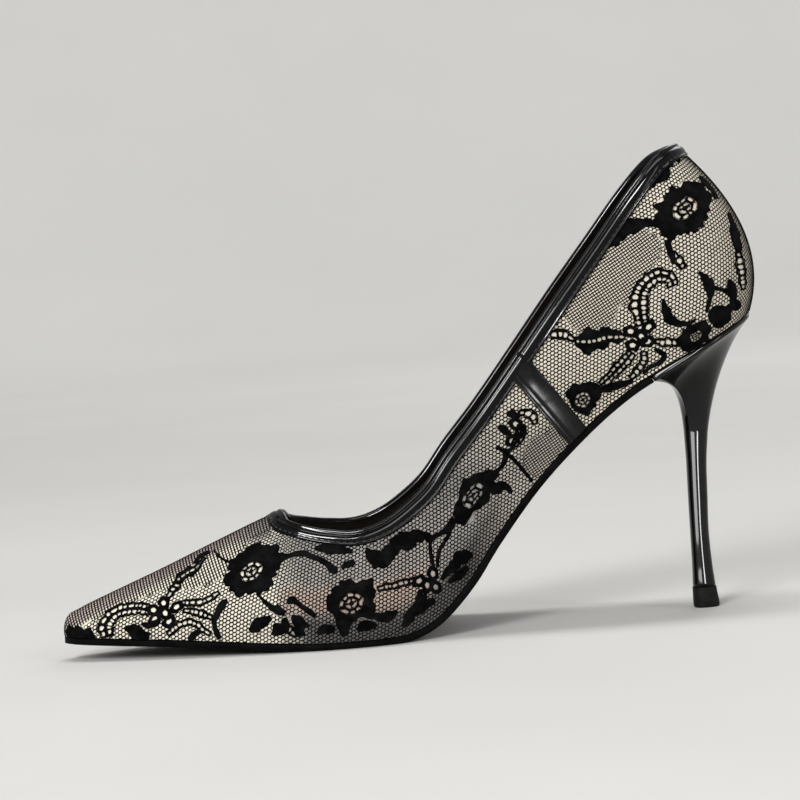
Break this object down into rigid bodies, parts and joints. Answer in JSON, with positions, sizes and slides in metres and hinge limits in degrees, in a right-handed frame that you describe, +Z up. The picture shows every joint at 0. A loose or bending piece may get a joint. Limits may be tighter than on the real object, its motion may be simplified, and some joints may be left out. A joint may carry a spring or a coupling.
{
  "type": "stiletto pump",
  "caption": "Pointed lace stiletto pump with patent topline binding, inner side band, thin sole and a slim high heel; stands on ball and heel tip.",
  "frame": {"origin": "middle of the bounding box at floor level", "axes": "toe towards -X, heel towards +X, inner (medial) side towards -Y, +Z up from the floor"},
  "size_m": [0.244, 0.0751, 0.1582],
  "materials": {
    "lace_fabric": "black floral lace over a nude ground",
    "patent_black": "patent gloss",
    "sole_black": "satin",
    "insole_tan": "smooth matte",
    "heel_gloss_black": "high gloss lacquer",
    "tip_rubber": "matte"
  },
  "bodies": {
    "root": {"upper": "lace_fabric", "topline_binding": "patent_black", "side_band": "patent_black", "outsole": "sole_black", "insole": "insole_tan", "heel": "heel_gloss_black", "heel_tip": "tip_rubber"}
  },
  "joints": []
}
